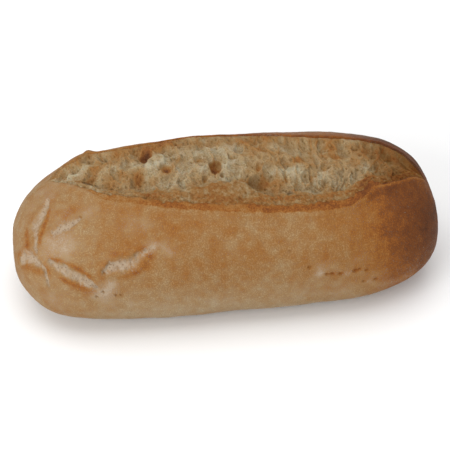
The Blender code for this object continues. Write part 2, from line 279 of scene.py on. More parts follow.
def hollows(u, v, size, seed, least=0.4, most=0.85):
    """How deep each place lies in the bubble it belongs to, 0 on the walls to 1 at a centre: the
    largest of 1 - (distance / radius) squared over the bubbles of the nearest nine cells."""
    draw = np.random.default_rng(seed).random((128, 128, 3))
    u, v = u / size, v / size
    column, row = np.floor(u).astype(int), np.floor(v).astype(int)
    deepest = np.zeros(np.broadcast(u, v).shape)
    for aside in (-1, 0, 1):
        for ahead in (-1, 0, 1):
            shift_u, shift_v, grow = np.moveaxis(draw[(column + aside) % 128, (row + ahead) % 128], -1, 0)
            apart = (u - column - aside - shift_u) ** 2 + (v - row - ahead - shift_v) ** 2
            deepest = np.maximum(deepest, 1 - apart / (least + (most - least) * grow) ** 2)
    return deepest


def flat(u, v):
    """Points on a plane, so that swells can be used on two coordinates."""
    return np.stack(np.broadcast_arrays(u, v, 0.0), axis=-1)


# %% [markdown]
# ## A closed mesh from a net of points
# Each piece is a net: stations along the roll, and columns round it that close into a ring. The
# grid of vertex numbers says which places share one vertex. That closes the poles and the seam past
# the tips of the cut with no merging, and squares that have shrunk to nothing are left out.

# %% Net to mesh
def surface_run(points):
    """How far each place of a net lies from its first column, over the surface, in mm."""
    steps = np.linalg.norm(np.diff(points, axis=1), axis=-1)
    return np.concatenate([0 * steps[:, :1], steps.cumsum(axis=1) / MM], axis=1)


def net_piece(name, points, number, skip=None, **paint):
    """A smooth closed piece from a net of points. number holds each place's vertex, and skip marks
    the squares to leave out. Each further name is kept for the material: the values of the columns
    that show, and one value for the rest."""
    beside = np.roll(number, -1, axis=1)
    squares = np.stack([number[:-1], beside[:-1], beside[1:], number[1:]], axis=-1)
    squares = squares[~skip] if skip is not None else squares.reshape(-1, 4)
    triangles = np.concatenate([squares[:, [0, 1, 2]], squares[:, [0, 2, 3]]])
    a, b, c = triangles.T
    triangles = triangles[(a != b) & (b != c) & (c != a)]
    used, corners = np.unique(triangles, return_inverse=True)
    inside_box = np.clip(points.reshape(-1, 3)[used], *packed_box)
    mesh = bpy.data.meshes.new(name)
    mesh.from_pydata(inside_box.tolist(), [], corners.reshape(-1, 3).tolist())
    for label, (shown, rest) in paint.items():
        values = np.full(number.shape, rest, float)
        values[:, :shown.shape[1]] = shown
        layer = mesh.attributes.new(label, "FLOAT", "POINT")
        layer.data.foreach_set("value", values.reshape(-1)[used].astype(np.float32))
    mesh.shade_smooth()
    piece = bpy.data.objects.new(name, mesh)
    scene.collection.objects.link(piece)
    print(name, len(mesh.polygons), "triangles")
    return piece


def dots(points, table):
    """Sum of soft spots in space. Each row is a place, a reach and a strength, in mm."""
    total = np.zeros(points.shape[:-1])
    for x, y, z, reach, strength in table:
        apart = np.linalg.norm(points / MM - (x, y, z), axis=-1) / reach
        total += strength * np.exp(-(apart**2))
    return total


# %% [markdown]
# ## What the whole roll does
# No roll is the plain form. This one is fuller behind the left tip of the cut and flatter on its
# shoulders, a small flap stands up at the rear lip, and all of it waves a little.

# %% Bulges
# place, reach and height in mm
BULGES = (
    (-48.5, 23, 37, 6, 1.3), (-66, 19, 29, 9, -0.6), (-73, 12, 23, 7, -0.3),
    (57, 24, 34, 9, 0.6), (72, -10, 34, 8, 0.4), (75, -12, 21, 8, 0.3),
    (31, 22, 42, 12, -0.5), (-8.5, 19, 46, 6, 0.5), (-21, 20, 45, 7, -0.4),
    (-45.3, 21.6, 39.8, 1.6, 0.9), (-71, -20, 15, 8, -0.7), (-60, -24, 7, 9, 0.6),
    (47, -27, 7, 12, 0.5),
)


def form_relief(points):
    """How far the roll stands out from the plain form, in metres."""
    waves = 0.3 * swells(points, 17 * MM, 11) + 0.12 * swells(points, 6 * MM, 12)
    return (waves + dots(points, BULGES)) * MM


# %% [markdown]
# ## Tears and pits in the crust
# At the left end, where the dough was tucked in, the skin has torn in short bands. Their floors are
# pale and floury, because they opened late and never browned, and full of pinholes, which the
# material paints as dark dots of shade, and the skin beside them has toasted darker. Each tear is a
# line of points on the crust with a half-width at each, in millimetres. Low on the right a row of
# pinholes has blown through the skin; their insides are browned partly as painted shade.

# %% Where the tears and pits are
# each tear: place and half-width in mm, from one end to the other
TEARS = (
    ((-61.4, -2.4, 40.3, 0.7), (-62.9, -5.6, 39.1, 1.4), (-64.8, -7.7, 37.6, 1.7),
     (-66.3, -10.3, 35.8, 1.5), (-66.5, -14, 34.6, 0.8), (-66.7, -17, 33.1, 0.7),
     (-66.7, -18.8, 32.1, 0.5)),
    ((-72.1, -15.8, 26.6, 1.4), (-70, -16.9, 29.3, 1.7), (-67.8, -20, 30, 1.4),
     (-65.8, -22.5, 29.8, 0.9), (-64.4, -24.3, 29, 0.6), (-63.9, -26, 26.3, 0.45),
     (-63.5, -27, 23.5, 0.3)),
    ((-62.4, -23.6, 31.8, 0.7), (-59.1, -26.3, 30.8, 1.3), (-55.7, -28.2, 29.6, 1.6),
     (-52.1, -29.9, 28.1, 1.5), (-49, -31, 26.3, 1.1), (-47.4, -31.5, 25.3, 0.6)),
    ((-44.7, -30.3, 30.9, 0.8), (-41.5, -29.9, 32.6, 1.5), (-38.6, -29.9, 33.3, 1.9),
     (-35.7, -30.1, 33.6, 1.8), (-33.6, -29.7, 34.6, 1.6), (-32, -29, 35.9, 1.1),
     (-30.2, -28.4, 36.9, 0.8)),
    ((-60.3, -16.3, 38.2, 1.1), (-58.1, -16.2, 39.4, 1.3), (-55.3, -16.1, 40.8, 1.2),
     (-52.5, -15.7, 42, 0.7), (-51.1, -15.2, 42.7, 0.4)),
)
# how much darker, and a line like those of the tears
SCORCHED = (
    (0.30, ((-61, -7.4, 40.1, 0.5), (-61.8, -9.6, 39.3, 0.7), (-63.3, -12.3, 37.7, 0.9),
            (-64.2, -14.2, 36.4, 0.8), (-65.1, -16.8, 34.6, 0.5))),
    (0.24, ((-69.2, -8.4, 33.4, 0.8), (-69.3, -11.5, 32.6, 1.4), (-69.4, -14.4, 31.4, 1.2))),
    (0.16, ((-71.4, -18.4, 25.7, 1.2), (-68.4, -21.8, 27.1, 1.3), (-65.6, -24, 27.7, 0.8))),
    (0.16, ((-63.8, -22.6, 31, 0.5), (-63.2, -24.6, 29.4, 0.7), (-62.6, -25.8, 27.6, 0.6))),
    (0.22, ((-62, -23, 32.6, 0.5), (-58.3, -25.1, 32.9, 0.8), (-55.1, -26.9, 32.4, 0.9),
            (-51.9, -28.7, 31.1, 0.9), (-49.4, -30, 29.4, 0.6))),
    (0.26, ((-59.4, -27.8, 27.7, 0.8), (-54.9, -29.8, 26, 1.6), (-51.1, -31, 24.4, 2),
            (-48.6, -31.6, 23.4, 1.2))),
    (0.14, ((-40.6, -27.6, 36.6, 1), (-37.5, -28, 36.4, 1.7), (-35.2, -26.9, 38.2, 1.8))),
    (0.16, ((-28.1, -29.4, 35.5, 1.2), (-29.6, -30.6, 33.2, 1.7), (-33.1, -31.5, 30.7, 1.2),
            (-36.7, -31.7, 29.4, 0.9), (-40.1, -31.5, 29.1, 0.6))),
    (0.18, ((-55.9, -12.5, 41.7, 1.3), (-53.9, -11.4, 42.8, 1.8), (-51.7, -11.1, 43.7, 1.5))),
    (0.09, ((-25.5, -16.4, 46.9, 0.6), (-19.7, -17.2, 46.6, 0.9), (-13, -18.4, 46, 0.6))),
    (0.09, ((10.5, -21, 44.5, 0.6), (19.8, -21.4, 44.3, 1), (30.5, -21.3, 44.1, 0.6))),
    (0.14, ((47, -19.8, 44.4, 0.8), (50, -17.2, 44.8, 1.3), (54, -15.4, 44.4, 1.2),
            (58, -13.8, 43.6, 0.8))),
)
# place, reach in mm, and how much flour
FLOURED = (
    (-27.7, -27.9, 37.7, 2.2, 0.60), (-24.8, -27.6, 38.2, 2.6, 0.25), (-22, -29, 36.6, 2, 0.45),
    (-59.5, -20.4, 36.4, 4.4, 0.28), (-56.5, -22.4, 36.5, 3.4, 0.30), (-61.8, -17.8, 36.6, 2.4, 0.30),
    (-48.2, -13.6, 44.1, 3, 0.30), (-61.2, -1, 40.4, 2.6, 0.30),
    (-42.2, -32, 26.6, 2, 0.45), (-43.8, -32.1, 25, 2.4, 0.45), (-46.5, -31.9, 23.3, 2.8, 0.45),
    (-42, -32.4, 21.5, 4.5, 0.20), (-34, -20, 43.5, 4, 0.18), (-29, -22.4, 42.4, 3, 0.20),
    (43, -30.5, 27, 3, 0.20), (30, -32.5, 27.5, 3.5, 0.15),
    (29.4, -33.1, 24.4, 1.6, 0.50), (38.9, -32.8, 23, 1.3, 0.60), (47.2, -32, 17.4, 1.6, 0.50),
    (34, -33, 24.6, 2.4, 0.25),
)
# place, reach in mm, and how much flour a torn floor has lost there
MOTTLED = (
    (-33.6, -29.7, 34.6, 1.4, 0.35), (-31.6, -28.9, 36, 1.4, 0.25), (-36.2, -30.2, 33, 1.2, 0.20),
)
# place and radius in mm
PITS = (
    (18.7, -30.7, 33.5, 0.35), (25.4, -32.7, 27, 0.7), (31.5, -33.1, 23.5, 0.6), (33.4, -33.1, 23.4, 0.8),
    (36.4, -33, 22.9, 0.9), (41.7, -32.6, 23.4, 1), (43.2, -32.4, 23.7, 0.7), (45.6, -32.2, 22.9, 0.5),
    (49.1, -31.7, 18.2, 0.7), (44.8, -32.3, 17.9, 0.5), (-45.3, -32.1, 23.6, 0.5), (-47.6, -31.9, 21.5, 0.5),
    (-44.6, -30.5, 30.6, 0.5), (-41.1, -32.6, 21.9, 0.4), (-39.6, -32.7, 21.8, 0.4),
    (-50.8, -14.6, 42.9, 0.5),
)


# %% Distance from a torn line
def line_distance(points, line):
    """Distance of each point from a line of (x, y, z, half-width) rows in mm, and the half-width
    there: the least over the line's straight runs of the distance to the nearest point on the run."""
    nearest = np.full(points.shape[:-1], np.inf)
    width = np.ones(points.shape[:-1])
    for start, end in zip(np.array(line[:-1]), np.array(line[1:])):
        span = end[:3] - start[:3]
        share = np.clip((points / MM - start[:3]) @ span / (span @ span), 0, 1)
        apart = np.linalg.norm(points / MM - start[:3] - share[..., None] * span, axis=-1)
        closer = apart < nearest
        nearest = np.where(closer, apart, nearest)
        width = np.where(closer, start[3] + (end[3] - start[3]) * share, width)
    return nearest, width


def tear_masks(points):
    """Two values: inside, 1 on a torn floor, and beside, 1 on the skin that a tear has lifted."""
    inside, beside = np.zeros(points.shape[:-1]), np.zeros(points.shape[:-1])
    ragged = 0.45 * swells(points, 0.8 * MM, 31) + 0.30 * swells(points, 2.4 * MM, 32)
    for tear in TEARS:
        apart, width = line_distance(points, tear)
        inside = np.maximum(inside, 1 - smooth(0.4 * width, 1.6 * width, apart + ragged * width))
        beside = np.maximum(beside, np.exp(-(((apart - 1.9 * width) / 0.8) ** 2)) * smooth(0.2, 0.6, width))
    return inside, beside * (1 - inside)


def pit_mask(points):
    """1 at the middle of each pit, falling to 0 at its rim; a pit is wider along the roll than up it."""
    deepest = np.zeros(points.shape[:-1])
    for x, y, z, radius in PITS:
        apart = np.linalg.norm((points / MM - (x, y, z)) * (0.85, 1.0, 1.1), axis=-1) / radius
        deepest = np.maximum(deepest, np.clip(1.2 - apart**2, 0, 1))
    return deepest


def scorch_mask(points):
    """Sum of soft lines: strength times exp(-(distance / half-width) squared)."""
    total = np.zeros(points.shape[:-1])
    for strength, line in SCORCHED:
        apart, width = line_distance(points, line)
        total += strength * np.exp(-((apart / width) ** 2))
    return total


# %% [markdown]
# ## Crust
# The crust is a shell about 3 mm thick with a leaf-shaped opening. One ring of its net runs from
# inside the cut over the front lip, under the roll, over the rear lip and back along the inside.
# Next to the lips it turns up into an ear, and the cut edge of the front ear shows as a band nearly
# 3 mm wide, browner than the skin below it. Columns are close together where the eye rests and wide
# under the roll.

# %% Crust columns
FRONT_EAR, REAR_EAR = 0.8, 0.3         # how far the lips turn up, in mm
EAR_REACH = 2.4                        # how far from the lip the crust starts to rise, in mm
FRONT_EDGE, REAR_EDGE = 4.4, 0.9       # how far the cut edges reach into the gape, in mm
BAND = 2.8                             # width of the cut edge that shows, in mm
SHELL = 3.0                            # thickness of the crust, in mm
FRONT_COLUMNS, REAR_COLUMNS = 14, 6
# share of the stations, or columns, and the share of the roll that they have covered by then
STATION_PACE = ((0, 0.44, 1), (0, 0.32, 1))
COLUMN_PACE = ((0, 0.52, 0.63, 0.72, 1), (0, 0.30, 0.52, 0.66, 1))


def crust_net(stations, around):
    """The crust's places: x of each station, the angle of each column, and its signed distance from
    the front and the rear lip in mm, negative on the cut edges inside the gape."""
    x = even_stations(-LENGTH / 2, LENGTH / 2, 1001)
    closer_left = np.interp(np.linspace(0, 1, stations), *STATION_PACE)
    x = np.interp(closer_left, np.linspace(0, 1, 1001), x)[:, None]
    front, rear = lip_turns(x)
    gape = surface_run(loaf(x, rear + np.linspace(0, 1, 60) * (front - rear)))[:, -1:]
    close = np.interp(np.linspace(0, 1, around), *COLUMN_PACE)
    rear_again = rear + 2 * np.pi
    outer = front + close * (rear_again - front)
    run = surface_run(loaf(x, outer))
    into_front = np.minimum(FRONT_EDGE, 0.3 * gape) * np.linspace(1, 0, FRONT_COLUMNS + 1)[:-1]
    into_rear = np.minimum(REAR_EDGE, 0.2 * gape) * np.linspace(0, 1, REAR_COLUMNS + 1)[1:]
    per_mm = (front - rear) / np.maximum(gape, 1e-6)
    turn = [front - into_front * per_mm, outer, rear_again + into_rear * per_mm]
    from_front = np.concatenate([-into_front, run, run[:, -1:] + into_rear], axis=1)
    from_rear = np.concatenate([run[:, -1:] + into_front, run[:, -1:] - run, -into_rear], axis=1)
    return x, np.concatenate(turn, axis=1), from_front, from_rear, gape


# %% Crust relief
def band_width(x_mm):
    """Width of the cut edge that shows, in mm: nearly nothing toward the tips of the cut."""
    return 0.5 + (BAND - 0.5) * smooth(-51, -42, x_mm) * smooth(56, 48, x_mm)


def ear_height(x_mm):
    """How far the front lip turns up, in mm: less toward the left tip."""
    return FRONT_EAR * (0.35 + 0.65 * smooth(-52, -34, x_mm))


UPRIGHT = (1, 0.3, 0.3)                # stretches swells into wrinkles that run round the roll


def crust_relief(points, from_front, from_rear, gape):
    """How far the crust stands out from the plain form, in mm, and its tear masks: the roll's own
    shape, an ear that swells up to each lip and falls away inside it, tears, pits, wrinkles and fine
    pimples."""
    wide = smooth(0, 8, gape)
    nick = 0.5 * swells(points, 1.3 * MM, 41) + 0.4 * swells(points, 3.1 * MM, 42)
    rise = np.exp(-((np.maximum(from_front, 0) / EAR_REACH) ** 2))
    into = np.maximum(-from_front, 0) / np.clip(0.3 * gape, 1e-6, FRONT_EDGE) * FRONT_EDGE
    band = band_width(points[..., 0] / MM)
    cut = 0.10 * into + 1.0 * np.maximum(into + 0.6 * band * nick - band, 0)
    relief = wide * ear_height(points[..., 0] / MM) * rise - smooth(0, 12, gape) * cut
    relief += wide * REAR_EAR * np.exp(-((np.maximum(from_rear, 0) / EAR_REACH) ** 2))
    relief -= 2.2 * smooth(0.1, REAR_EDGE, -from_rear + 0.3 * nick) * smooth(0, 4, gape)
    inside, beside = tear_masks(points)
    grain = swells(points, 0.9 * MM, 43)
    relief += -0.6 * inside + 0.25 * beside + 0.5 * inside * grain - 0.65 * pit_mask(points)
    relief += 0.08 * swells(points * UPRIGHT, 5 * MM, 45) + 0.05 * swells(points, 2.2 * MM, 44)
    relief += (0.04 + 0.14 * smooth(0.2, -0.4, from_front)) * grain
    lifted = smooth(0.2 * MM, 5 * MM, points[..., 2])
    return form_relief(points) / MM * lifted + relief * lifted, inside, beside


# %% Crust shell
STATIONS, AROUND, INSIDE = 400, 198, 10
x, turn, from_front, from_rear, gape = crust_net(STATIONS, AROUND)
plain = loaf(x, turn)
relief, tear_floor, tear_side = crust_relief(plain, from_front, from_rear, gape)
outer = plain + facing_out(x, turn) * relief[..., None] * MM
back_turn = np.linspace(0, 1, INSIDE) * (turn[:, -1:] - turn[:, :1])
inner_turn = turn[:, -1:] - back_turn
inner_x = x * (1 - SHELL * MM / (LENGTH / 2))
inner = loaf(inner_x, inner_turn) - facing_out(inner_x, inner_turn) * SHELL * MM
crust_points = np.concatenate([outer, inner], axis=1)

OUTER = outer.shape[1]
number = np.arange(crust_points.size // 3).reshape(crust_points.shape[:2])
shut = ~opened(x[:, 0])
number[shut, :FRONT_COLUMNS] = number[shut, FRONT_COLUMNS:FRONT_COLUMNS + 1]
number[shut, FRONT_COLUMNS + AROUND - 1:OUTER] = number[shut, FRONT_COLUMNS:FRONT_COLUMNS + 1]
number[shut, -1] = number[shut, OUTER]
number[0, :OUTER], number[-1, :OUTER] = number[0, FRONT_COLUMNS], number[-1, FRONT_COLUMNS]
number[0, OUTER:], number[-1, OUTER:] = number[0, OUTER], number[-1, OUTER]
walls = np.zeros((STATIONS - 1, number.shape[1]), bool)
walls[:, [OUTER - 1, -1]] = (shut[:-1] & shut[1:])[:, None]
print("crust net:", crust_points.shape[:2])

# %% [markdown]
# The oven has not browned the crust evenly. The right end and the rear are browner, partly as real
# browning and partly as painted shade on the sides that face away from the lamp. The left end stayed
# pale, the underside is paler, and the cut edge caught more than the skin below it, while a thin
# painted highlight runs along the right part of the front lip. All that is one number from 0, raw
# dough, to 1, burnt, which the material turns into colour. A second number says how much flour still
# lies on a place: on the torn floors and in soft spots. It also makes the crust paler and greyer low
# down, lays a painted grey sheen on the rear, and draws a pale line on the left lip that is partly
# painted highlight.

# %% How far each place of the crust has baked, with painted shade and highlight
# less bake, so a paler spot, beside the right tip of the cut: place, reach and strength in mm
LIGHTER_BESIDE_RIGHT_TIP = ((69.0, -7.0, 36.0, 7.0, 0.20),)      # beside the right tip of the cut


def crust_bake(points, from_front, from_rear, gape, tear_floor, tear_side):
    """Bake from 0 to 1: a base value with blotches in four sizes, more to the right end and the rear,
    which is partly real browning and partly painted shade, less at the left end and low on the rear
    right, then the cut edges, a painted highlight along the right of the front lip, scorched lines,
    and pits, whose extra brown is partly painted shade."""
    x, y, z = np.moveaxis(points / MM, -1, 0)
    bake = 0.04 * swells(points, 14 * MM, 51) + 0.05 * swells(points, 6 * MM, 52)
    bake += 0.05 * swells(points, 2.4 * MM, 53) + 0.04 * swells(points * UPRIGHT, 4 * MM, 61)
    bake = 0.395 + bake * (1 - 0.5 * smooth(42, 60, x))
    # painted shade, partly: more bake toward the right end is partly real browning, partly shade away from
    # the lamp
    bake += 0.10 * smooth(15, 45, x + 0.25 * (z - 25))
    bake += 0.32 * smooth(38, 64, x) + 0.14 * smooth(60, 75, x) - dots(points, LIGHTER_BESIDE_RIGHT_TIP)
    bake -= 0.2 * smooth(36, 24, z) * smooth(8, 18, y) * smooth(20, 60, x)
    bake -= 0.08 * smooth(-36, -64, x) + 0.18 * smooth(34, 8, z) * smooth(-64, -36, x)
    # painted shade, partly: the rear is browner partly from baking and partly as shade away from the lamp
    bake += 0.28 * smooth(6, 22, y) * (0.3 * smooth(-70, -40, x) + 0.7 * smooth(-45, 30, x))
    rim = 0.3 * swells(points, 1.6 * MM, 54) + 0.3 * swells(points, 0.8 * MM, 55)
    edge = smooth(0.1, -0.3, from_front + 0.25 * rim) * smooth(0, 5, gape)
    bake += edge * (0.06 + 0.12 * smooth(-30, -18, x) - 0.10 * smooth(46, 56, x) + 0.22 * rim)
    # painted highlight: a thin paler line along the right part of the front lip
    bake -= 0.22 * smooth(48, 56, x) * smooth(0, 4, gape) * np.exp(-(((from_front + 0.1) / 0.6) ** 2))
    bake -= 0.03 * smooth(2.0, 0.4, from_front) * (1 - edge)
    bake += 0.12 * smooth(0.9, -0.4, from_rear) * smooth(0, 5, gape) * smooth(-30, 10, x)
    # painted shade, partly: pits get extra bake, which darkens their insides
    bake += scorch_mask(points) * (1 - 0.8 * tear_floor) + 0.05 * tear_side + 0.18 * pit_mask(points)
    return np.clip(bake, 0, 1)


# %% How much flour is left on it, with painted sheen and highlight
def crust_flour(points, from_front, gape, tear_floor, bake):
    """Flour cover up to 1: torn floors with lost grains, the soft spots, a paler and greyer tone low down,
    patches at the left end, a painted grey sheen on the rear toward the right, and a thin pale line on
    the left lip, partly the torn skin's own edge and partly painted highlight. It goes a little below 0
    on the cut edge and where the crust is brownest, so that no grain shows there."""
    x, y, z = np.moveaxis(points / MM, -1, 0)
    from_left = smooth(-64, -36, x)
    flour = 0.9 * tear_floor + dots(points, FLOURED)
    # paler and greyer low down
    flour += (0.2 * smooth(30, 12, z) + 0.3 * smooth(12, 1, z)) * (0.3 + 0.7 * from_left)
    patchy = np.clip(1 + 0.5 * swells(points, 1.5 * MM, 57) + 0.6 * swells(points, 3.6 * MM, 58), 0, 2)
    flour *= patchy ** (1 - 0.7 * tear_floor)
    lost = 0.5 * np.maximum(swells(points, 0.8 * MM, 59), 0) + 0.25 * swells(points, 1.6 * MM, 62)
    flour -= tear_floor * (lost + dots(points, MOTTLED))
    flour += 0.12 * np.maximum(swells(points, 7 * MM, 56), 0)
    flour += 0.22 * (1 - from_left) * np.maximum(0.4 + swells(points, 4.5 * MM, 60), 0)
    # painted sheen: a greyish veil on the rear crust, as grazing light gives
    flour += 0.4 * smooth(12, 18, y) * smooth(-10, 35, x) * smooth(26, 38, z)
    flour *= (1 - smooth(0.5, -0.3, from_front)) * (1 - pit_mask(points))
    # a pale line on the left lip: partly the torn skin's own edge, partly painted highlight
    flour += 0.4 * smooth(-42, -47, x) * np.exp(-(((from_front + 0.3) / 0.45) ** 2))
    flour *= smooth(0, 2, gape + 4 * (np.abs(from_front) > 2))
    flour -= 0.25 * smooth(0.5, -0.3, from_front) * smooth(0, 5, gape) + 0.05 * smooth(0.50, 0.66, bake)
    return np.clip(flour, -0.35, 1)


bake = crust_bake(plain, from_front, from_rear, gape, tear_floor, tear_side)
flour = crust_flour(plain, from_front, gape, tear_floor, bake)
crust = net_piece("crust", crust_points, number, walls, bake=(bake, 0.3), flour=(flour, 0))

# %% [markdown]
# ## Crumb
# The crumb is the soft inside. Where the cut pulled it apart it lies open: a strip of toasted
# granules behind the front lip, then a trough, then a broad wall that climbs to the rear lip. All
# of it is torn foam, with bubbles from 6 mm down to about 1 mm. The big gas holes are placed where
# the photograph has them.

# %% The shape of the torn face
# along the roll, and then how far behind the front lip or how deep, all in mm
TROUGH_BEHIND_LIP = (
    (-60, 1), (-50, 5), (-43, 8), (-35, 9), (-27, 10), (-9, 14.5), (0, 16.5), (8, 15), (12, 11), (20, 10),
    (35, 10), (43, 9), (52, 6.5), (60, 5), (70, 3),
)
TROUGH_DEPTH = (
    (-60, 1), (-50, 2.8), (-43, 3.4), (-20, 3.9), (-4, 5.2), (10, 5.6), (30, 4.6), (43, 4.0), (52, 3.0),
    (60, 1.8), (70, 0.8),
)
STRIP_DEPTH = (
    (-60, 0.4), (-50, 0.6), (-30, 0.8), (-16, 0.5), (-6, 0.1), (12, 0.3), (30, 0.3), (45, 0.2), (55, 0.5),
    (70, 0.4),
)
WALL_DEPTH, REAR_DEPTH, REAR_RISE = 1.9, 0.3, 7.0

# along, across, half-length, half-width, depth in mm, turned in degrees
HOLES = (
    (-26.4, 11.4, 2.9, 4.6, 2.6, 0), (-20, 1.8, 2.4, 3.6, 1.3, 0), (-2.6, 1.8, 2.6, 3.9, 3.4, -10),
    (-0.9, -2.4, 1, 1, 1.5, 0), (-7, -3.7, 1.2, 1.6, 1.4, -25), (11.7, -2.7, 1.4, 2, 1.1, 0),
    (13, -7.8, 5.2, 3.2, 1, 0), (35, -4.6, 2, 2.2, 1.2, 0), (36.7, -4.4, 0.8, 0.9, 1, 0),
    (-39.8, -3.7, 1, 0.7, 1.4, 0),
    (0.2, 13.9, 1.8, 1.3, 1.1, 0), (3.9, 4.7, 1.9, 0.9, 1.2, -15), (29.7, -8.5, 1, 3.6, 1.1, 0),
    (20.8, -7.3, 0.8, 3, 0.9, 0), (34.7, -11.1, 1.3, 2.2, 1, 0), (39.9, -7.3, 1.3, 1.2, 0.9, 0),
    (-14.6, 15.6, 1.2, 1, 1, 0), (47.5, 6, 1.6, 1.2, 1, -20), (52.5, 1.5, 1.2, 1.4, 0.9, -20),
)
SOFT_HOLLOWS = (
    (-46.2, 5.2, 5.4, 3, 1.5, 45), (-30, -1.6, 3, 4.2, 1.3, -10), (-40, -2, 3, 3, 0.6, 0),
    (13.2, -7.4, 6.4, 4.6, 1.2, 10), (-52, 12.5, 3, 2.4, 0.5, 0),
)
LUMPS = (
    (-0.1, -10.6, 8.4, 5.8, 1.8, 0), (18, -6.2, 1.9, 3.6, 0.8, 0), (32.1, -9, 1.4, 3.6, 0.6, 0),
    (37.7, -8.9, 1.2, 3.4, 0.6, 0), (44, -7.3, 2.2, 2.2, 0.7, 0), (25, -8, 3, 4, 0.5, 0),
    (-35.9, 0.7, 1, 3, 0.9, -15), (47.4, -13.4, 5, 2.8, 1.7, -12), (-31, -10.6, 4.5, 2, 0.8, -10),
    (-58.6, 9.6, 2.6, 1.8, 0.9, 30), (-45.3, 20.6, 1.6, 1.7, 1.2, 0),
)


def along(knots, x_mm):
    """A soft curve through (place along the roll, value) pairs: the straight runs, averaged over 4 mm."""
    places, values = np.array(knots, float).T
    return np.mean([np.interp(x_mm + shift, places, values) for shift in np.linspace(-2, 2, 9)], axis=0)


def turned_ellipses(x_mm, y_mm, table):
    """For each row of a table, the squared distance from the ellipse's middle, which is 1 on the
    ellipse itself, and the row's height or strength."""
    for middle_x, middle_y, half_x, half_y, amount, turned in table:
        c, s = np.cos(np.radians(turned)), np.sin(np.radians(turned))
        a, b = x_mm - middle_x, y_mm - middle_y
        yield ((a * c + b * s) / half_x) ** 2 + ((b * c - a * s) / half_y) ** 2, amount


def domes(x_mm, y_mm, table):
    """Sum of domes: height times (1 - distance squared) to the power 0.9."""
    rows = turned_ellipses(x_mm, y_mm, table)
    return sum(height * np.clip(1 - apart, 0, 1) ** 0.9 for apart, height in rows)


def patches(x_mm, y_mm, table):
    """Sum of soft patches: strength times exp(-1.6 distance squared)."""
    rows = turned_ellipses(x_mm, y_mm, table)
    return sum(strength * np.exp(-1.6 * apart) for apart, strength in rows)


# %% Large form of the torn face
def torn_form(points, front, rear):
    """Depth below the plain form in mm, before any bubbles, and a mask of the front strip."""
    x_mm, gape = points[..., 0] / MM, front + rear
    trough_at = np.minimum(along(TROUGH_BEHIND_LIP, x_mm), 0.45 * gape)
    trough, strip = along(TROUGH_DEPTH, x_mm), along(STRIP_DEPTH, x_mm)
    waver = 0.9 * swells(flat(x_mm, front), 3.0, 61) * smooth(4, 12, gape)
    strip_end = (0.45 + 0.17 * smooth(-24, -8, x_mm)) * trough_at
    start = np.minimum(0.8 * trough_at, np.maximum(strip_end, np.minimum(3.8, 0.3 * gape)))
    drop = smooth(start, trough_at, front + waver)
    depth = strip + (trough - strip) * drop
    depth -= (trough - WALL_DEPTH) * smooth(trough_at, trough_at + np.minimum(9, 0.4 * gape), front)
    depth -= (WALL_DEPTH - REAR_DEPTH) * smooth(-np.minimum(REAR_RISE, 0.3 * gape), 0, -rear)
    return depth, 1 - drop


# %% Bubbles, strands and granules
def torn_foam(points, rear, gape, strip):
    """Depth of the foam in mm and three masks from 0 to 1: gas cells, thin strands, and painted shade for
    the pores, the clefts between the granules of the strip and the right end. The coordinates are bent
    by swells first, so no bubble is a perfect circle, and they run slower near the rear lip, where the
    dough was pulled out the most."""
    u = points[..., 0] / MM
    v = rear * (0.45 + 0.4 * rear / np.maximum(gape, 1e-6))
    place = flat(u, v)
    bent_u = u + 1.3 * swells(place, 5.0, 62) + 0.4 * swells(place, 1.5, 63)
    bent_v = v + 1.3 * swells(place, 5.0, 64) + 0.4 * swells(place, 1.5, 65)
    cells = hollows(bent_u, bent_v / 1.5, 6.0, 66, 0.3, 0.62)
    bubbles = hollows(bent_u, bent_v / 1.2, 2.7, 67, 0.3, 0.66)
    froth = hollows(bent_u, bent_v, 1.3, 68, 0.3, 0.66)
    pinholes = hollows(bent_u, bent_v, 1.5, 69, 0.1, 0.28)
    across = bent_u + 0.75 * smooth(24, 50, u) * v
    lines = np.abs(swells(flat(across, v / 3.2), 2.4, 70))
    pulled = swells(place, 9.0, 71) + 0.4 * smooth(10, 30, u)
    strands = smooth(0.38, 0.0, lines) * smooth(-0.35, 0.35, pulled)
    lumpy = 0.5 * swells(place, 4.2, 72) + 0.25 * swells(place, 1.9, 73)
    foam = 1.1 * smooth(0, 0.85, cells) + 0.55 * smooth(0, 0.9, bubbles) * (1 - 0.5 * cells)
    foam += 0.16 * froth + 0.5 * pinholes + lumpy - 0.3 * strands - 0.65
    granules = smooth(0, 1, hollows(bent_u, bent_v, 1.35, 74, 0.4, 0.8))
    crumbs = hollows(bent_u, bent_v, 0.7, 75, 0.4, 0.8)
    heap = lumpy - 0.26 * granules - 0.16 * crumbs + 0.2
    # painted shade: deeper bubbles and pinholes get a darker colour
    pore = np.clip(0.4 * cells + 0.25 * bubbles + 0.15 * froth + 0.8 * pinholes - 0.2, 0, 1)
    # painted shade in the clefts between the granules of the strip
    cleft_shade = np.clip(0.55 - 0.5 * granules - 0.5 * crumbs, 0, 1)
    # painted shade also darkens the right end of the torn face
    return (foam * (1 - strip) + heap * strip, cells * (1 - strip), strands * (1 - strip),
            pore * (1 - strip) + (cleft_shade + 0.2) * strip + 0.75 * smooth(44, 62, u))


# %% Crumb body
OPEN_STATIONS, END_STATIONS, ACROSS, BENEATH = 620, 12, 136, 14
FACE_PACE = ((0, 0.28, 1), (0, 0.42, 1))
INSET = 2.2 * MM                       # how far the crumb's hidden side lies inside the form


